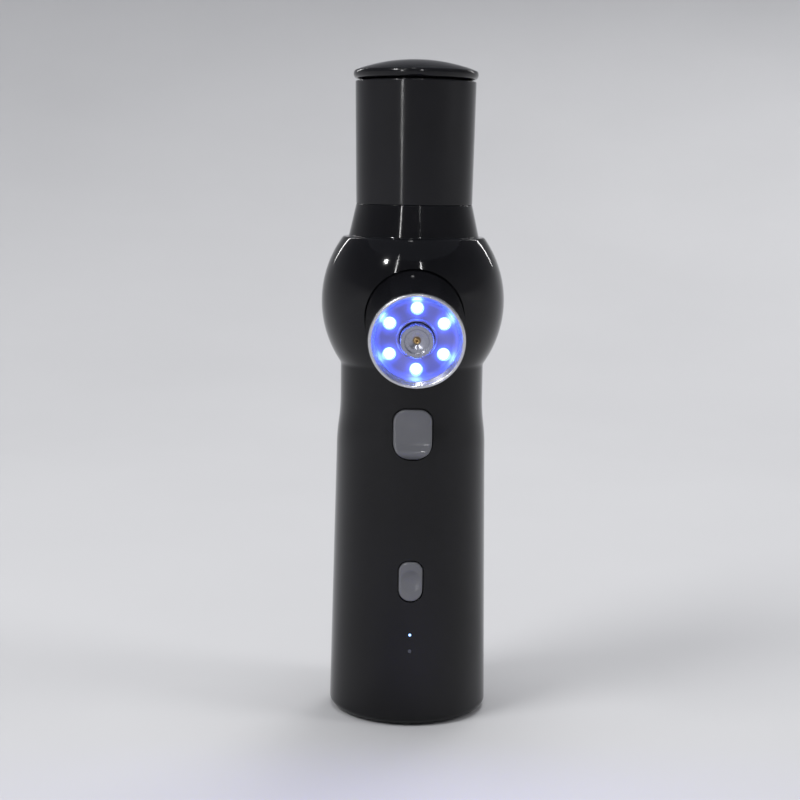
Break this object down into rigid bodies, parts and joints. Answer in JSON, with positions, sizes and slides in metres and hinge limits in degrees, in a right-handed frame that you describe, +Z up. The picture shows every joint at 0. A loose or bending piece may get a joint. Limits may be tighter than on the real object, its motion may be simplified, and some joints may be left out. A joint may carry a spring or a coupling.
{
  "type": "handheld mist sprayer",
  "caption": "Cordless handheld mist sprayer with a tapered handle, a ball-shaped pump chamber, a lamp ring round its nozzle, a press trigger and a lidded tank on top.",
  "frame": {"origin": "centre of the foot ring's face, on the surface that the sprayer stands on, on the body's axis", "axes": "+Z up along the body's axis, -Y the way the nozzle points, +X to the right of someone who looks along +Y at the nozzle"},
  "size_m": [0.061, 0.0884, 0.2184],
  "materials": {
    "shell_black": "high gloss moulded ABS",
    "base_black": "fine matte texture",
    "rubber_black": "smooth rubber",
    "tank_black": "gloss",
    "lid_black": "gloss",
    "silicone_clear": "translucent silicone",
    "steel_plain": "zinc plated",
    "steel_pressed": "pressed and nickel plated",
    "core_steel": "dark laminated steel and ferrite",
    "frame_grey": "glass filled nylon",
    "moulded_black": "moulded",
    "moulded_white": "moulded acetal",
    "cell_wrap": "shrink wrap",
    "board_green": "solder mask",
    "copper": "enamelled copper",
    "bronze": "turned",
    "lead_wire": "pvc insulation",
    "button_grey": "satin",
    "bezel_pale": "satin silver",
    "reflector_pale": "white",
    "lamp_blue": "clear blue epoxy",
    "nozzle_steel": "turned and knurled"
  },
  "bodies": {
    "body": {"front_shell": "shell_black", "rear_shell": "shell_black", "nozzle_barrel": "shell_black", "base_cover": "base_black", "foot_ring": "rubber_black", "tank_seal": "rubber_black", "nozzle_seal": "rubber_black", "diaphragm": "rubber_black", "tank": "tank_black", "air_tube": "silicone_clear", "liquid_tube": "silicone_clear", "shell_screws": "steel_plain", "base_screws": "steel_plain", "board_screws": "steel_plain", "pump_screws": "steel_plain", "barrel_screws": "steel_plain", "trigger_spring": "steel_plain", "motor_can": "steel_pressed", "charge_port": "steel_pressed", "battery_contacts": "steel_pressed", "tank_filter": "steel_pressed", "motor_magnets": "core_steel", "chassis": "frame_grey", "pump_bracket": "frame_grey", "motor_end_cap": "moulded_black", "pump_housing": "moulded_black", "pump_cover": "moulded_black", "power_switch": "moulded_black", "trigger_switch": "moulded_black", "control_chip": "moulded_black", "boost_coil": "moulded_black", "wobble_plate": "moulded_white", "valve_plate": "moulded_white", "battery_cell": "cell_wrap", "capacitor": "cell_wrap", "main_board": "board_green", "charge_board": "board_green", "motor_bushes": "bronze", "nozzle_tip": "bronze", "motor_leads": "lead_wire", "lamp_leads": "lead_wire", "bezel_ring": "bezel_pale", "reflector": "reflector_pale", "lamp_board": "reflector_pale", "lamps": "lamp_blue", "indicator_leds": "lamp_blue", "light_pipes": "lamp_blue", "nozzle_body": "nozzle_steel"},
    "trigger": {"trigger": "button_grey", "trigger_plunger": "moulded_white"},
    "power_button": {"power_button": "button_grey", "power_plunger": "moulded_white"},
    "lid": {"lid": "lid_black", "lid_seal": "silicone_clear"},
    "nozzle_ring": {"nozzle_ring": "nozzle_steel"},
    "rotor": {"rotor_shaft": "steel_plain", "rotor_core": "core_steel", "rotor_windings": "copper", "commutator": "copper", "crank": "moulded_white"}
  },
  "joints": [
    {"name": "trigger_press", "type": "slide", "parent": "body", "child": "trigger", "axis": [0, 1, 0], "range_m": [0, 0.0016], "stiffness_N_per_m": 900, "springref_m": -0.001, "deforming": ["trigger_spring"]},
    {"name": "power_press", "type": "slide", "parent": "body", "child": "power_button", "axis": [0, 1, 0], "range_m": [0, 0.0008], "stiffness_N_per_m": 1500, "springref_m": -0.0005},
    {"name": "lid_lift", "type": "slide", "parent": "body", "child": "lid", "axis": [0, 0, 1], "range_m": [0, 0.009]},
    {"name": "nozzle_turn", "type": "hinge", "parent": "body", "child": "nozzle_ring", "pos_m": [0, 0, 0.1392], "axis": [0, -0.9903, -0.1392], "range_deg": [0, 180]},
    {"name": "motor_spin", "type": "hinge", "parent": "body", "child": "rotor", "pos_m": [0, 0.006, 0.08], "axis": [0, 0, 1], "continuous": true}
  ]
}
